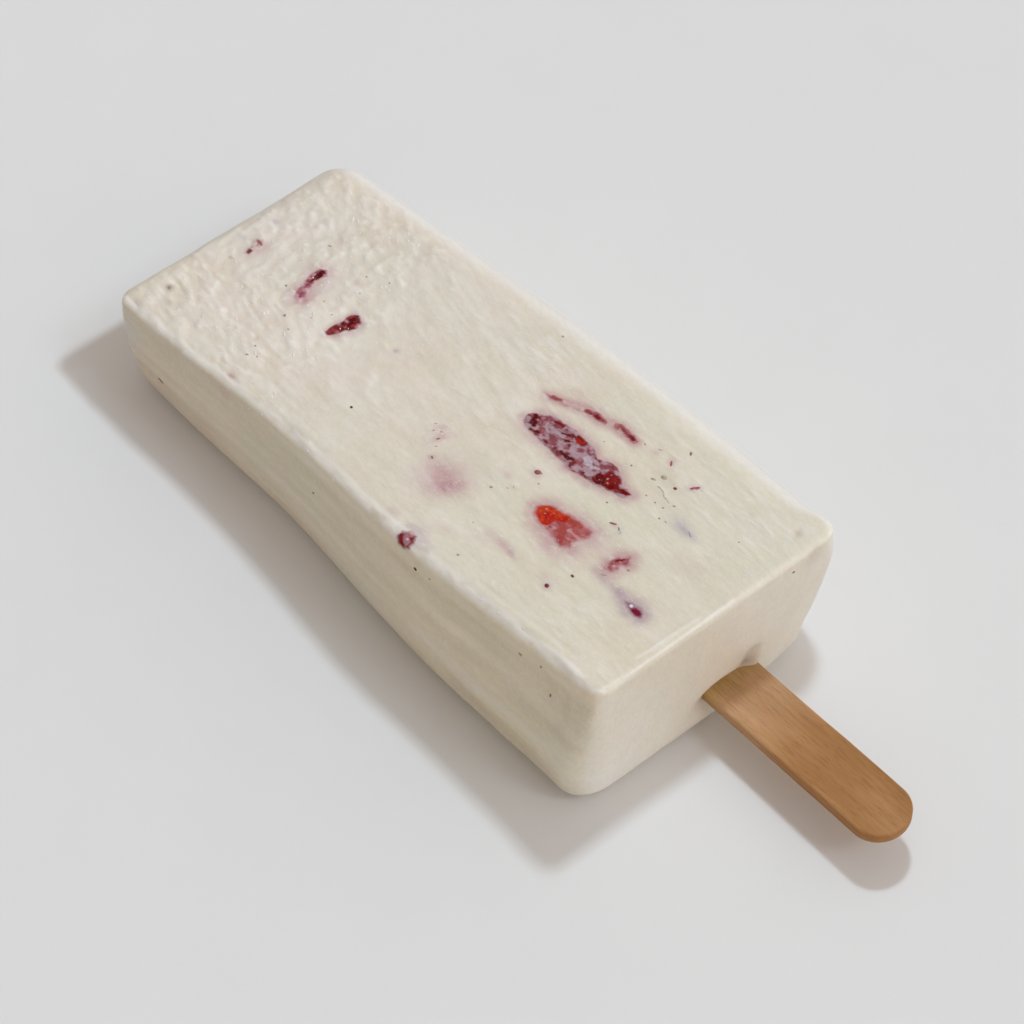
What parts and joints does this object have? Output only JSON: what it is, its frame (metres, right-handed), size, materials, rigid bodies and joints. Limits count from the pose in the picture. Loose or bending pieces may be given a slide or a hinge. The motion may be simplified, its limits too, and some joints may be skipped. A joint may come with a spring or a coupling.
{
  "type": "ice pop",
  "caption": "Frozen cream bar with strawberry pieces set into its face, on a flat wooden stick with a rounded end.",
  "frame": {"origin": "on the bar's flat back face, halfway along and across the bar without its stick", "axes": "+X along the bar towards the stick's bare end, +Y across the bar, +Z out of the back face towards the face with the strawberries"},
  "size_m": [0.1424, 0.0509, 0.0292],
  "materials": {
    "frozen_cream": "soft waxy sheen, slightly translucent",
    "stick_wood": "smooth unvarnished",
    "dark_strawberry": "moist, dark red",
    "red_strawberry": "moist, bright red",
    "pink_strawberry": "moist, pinkish red under a thin film of cream"
  },
  "bodies": {
    "root": {"ice_block": "frozen_cream", "stick": "stick_wood", "strawberry_slice": "dark_strawberry", "strawberry_chunk": "red_strawberry", "strawberry_sliver_long": "pink_strawberry", "strawberry_sliver_short": "pink_strawberry", "strawberry_wedge": "dark_strawberry", "strawberry_dark": "dark_strawberry", "strawberry_tip": "pink_strawberry", "strawberry_pink": "pink_strawberry", "strawberry_purple": "dark_strawberry", "strawberry_crest": "dark_strawberry"}
  },
  "joints": []
}
